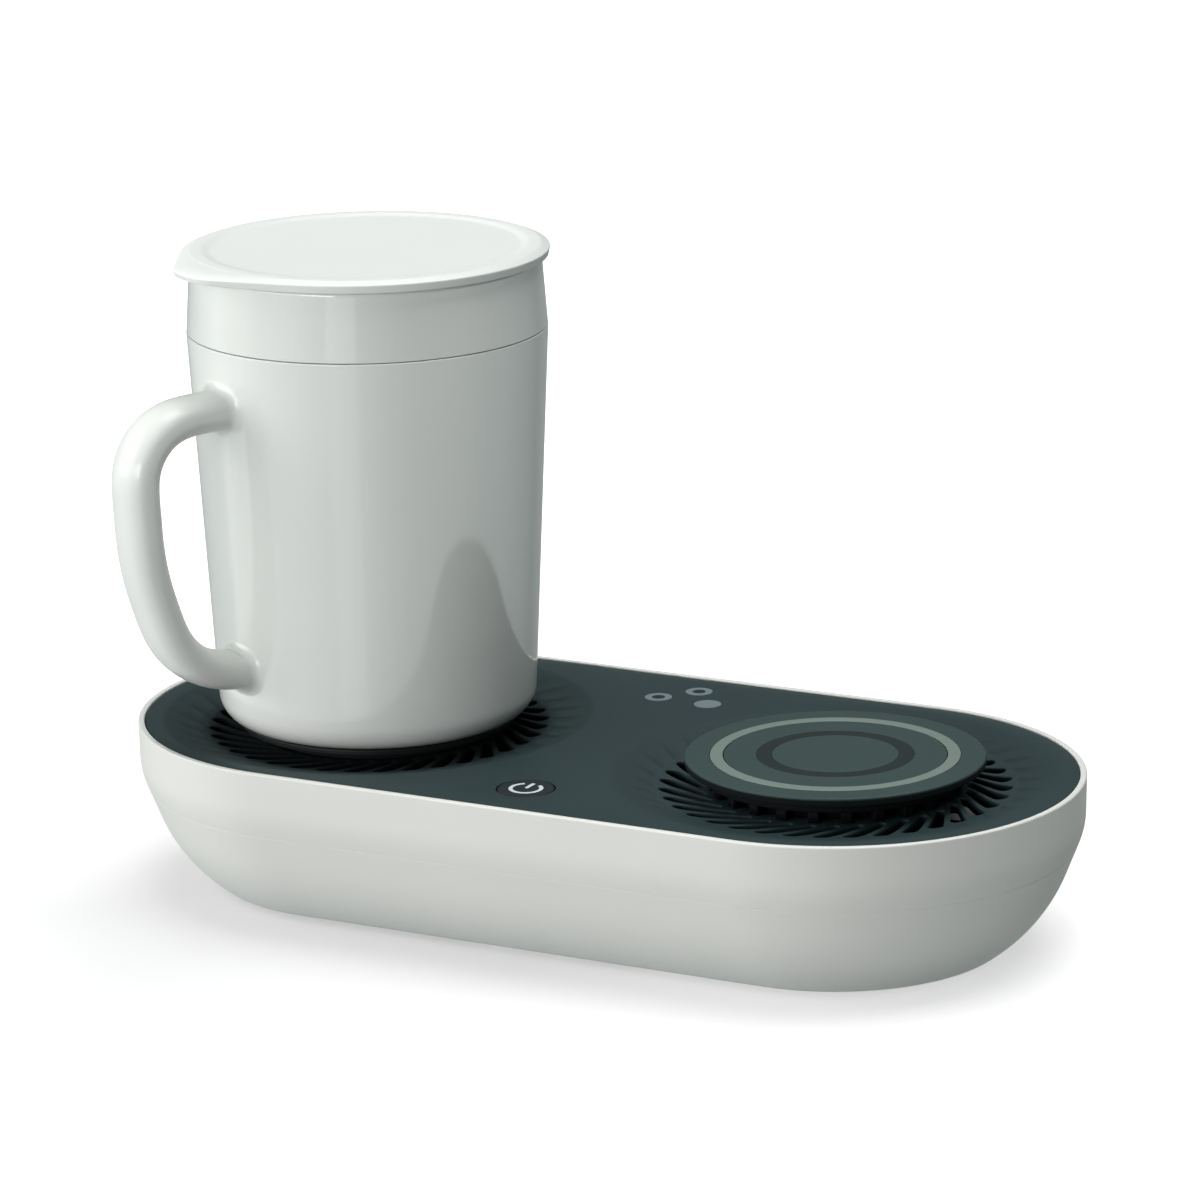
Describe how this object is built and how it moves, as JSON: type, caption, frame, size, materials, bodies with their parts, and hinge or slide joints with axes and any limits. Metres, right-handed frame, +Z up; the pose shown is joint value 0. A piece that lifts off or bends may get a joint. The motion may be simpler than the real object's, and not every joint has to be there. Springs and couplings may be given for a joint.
{
  "type": "electric mug warmer",
  "caption": "Racetrack-shaped desk base with a heated station carrying a lidded handled mug and a round wireless charging pad, each ringed by swirled vent slots.",
  "frame": {"origin": "on the surface the feet stand on, midway between the mug's axis and the charging pad's axis", "axes": "+X from the mug's station towards the charging pad's, +Y towards the rear with the power inlet and the indicators, +Z up"},
  "size_m": [0.2354, 0.1212, 0.1544],
  "materials": {
    "casing": "off-white, fine satin",
    "deck": "charcoal, smooth satin",
    "dark_insert": "dark charcoal",
    "mug_body": "off-white, satin powder coat",
    "collar": "off-white, satin",
    "lid": "white, satin",
    "steel": "brushed",
    "aluminium": "machined",
    "screw": "zinc plated",
    "rubber": "matte",
    "silicone": "matte grey",
    "ceramic": "unglazed ceramic",
    "thermal_pad": "soft grey-blue",
    "light_ring": "pale grey-green",
    "window": "smoked, translucent",
    "icon": "pale grey",
    "copper": "enamelled copper",
    "ferrite": "sintered, matte",
    "board": "green solder mask",
    "component": "black moulding",
    "can": "bare can",
    "fan": "black moulding",
    "bronze": "sintered bronze",
    "magnet": "bonded ferrite",
    "led": "clear lens"
  },
  "bodies": {
    "base": {"lower_casing": "casing", "upper_casing": "casing", "feet": "rubber", "casing_screws": "screw", "deck": "deck", "heating_plate": "aluminium", "plate_seal": "silicone", "temperature_sensor": "steel", "thermal_pads": "thermal_pad", "peltier_module": "ceramic", "heat_sink": "aluminium", "heat_sink_screws": "screw", "pad_cap": "deck", "pad_light_ring": "light_ring", "pad_dark_ring": "dark_insert", "pad_base": "dark_insert", "charging_coil": "copper", "ferrite_sheet": "ferrite", "coil_board": "board", "pad_screws": "screw", "fan_frame": "fan", "fan_bearing": "bronze", "fan_stator": "copper", "fan_screws": "screw", "button_switch": "component", "indicator_windows": "window", "window_cores": "dark_insert", "indicator_leds": "led", "main_board": "board", "board_screws": "screw", "capacitors": "can", "inductor": "ferrite", "chips": "component", "power_inlet": "component", "inlet_pin": "steel"},
    "power_button": {"power_button": "deck", "button_icon": "icon", "button_plunger": "component"},
    "fan_rotor": {"fan_impeller": "fan", "fan_magnet": "magnet", "fan_shaft": "steel"},
    "mug": {"mug_shell": "mug_body", "mug_collar": "collar", "mug_gasket": "rubber", "mug_liner": "steel", "mug_base_disc": "steel"},
    "lid": {"lid_cap": "lid", "lid_seal": "silicone"}
  },
  "joints": [
    {"name": "button_press", "type": "slide", "parent": "base", "child": "power_button", "axis": [0, 0, -1], "range_m": [0, 0.0006], "stiffness_N_per_m": 400},
    {"name": "fan_spin", "type": "hinge", "parent": "base", "child": "fan_rotor", "pos_m": [0.0602, 0, 0.018], "axis": [0, 0, 1], "continuous": true},
    {"name": "mug_lift", "type": "slide", "parent": "base", "child": "mug", "axis": [0, 0, 1], "range_m": [0, 0.12]},
    {"name": "lid_lift", "type": "slide", "parent": "mug", "child": "lid", "axis": [0, 0, 1], "range_m": [0, 0.04]}
  ]
}
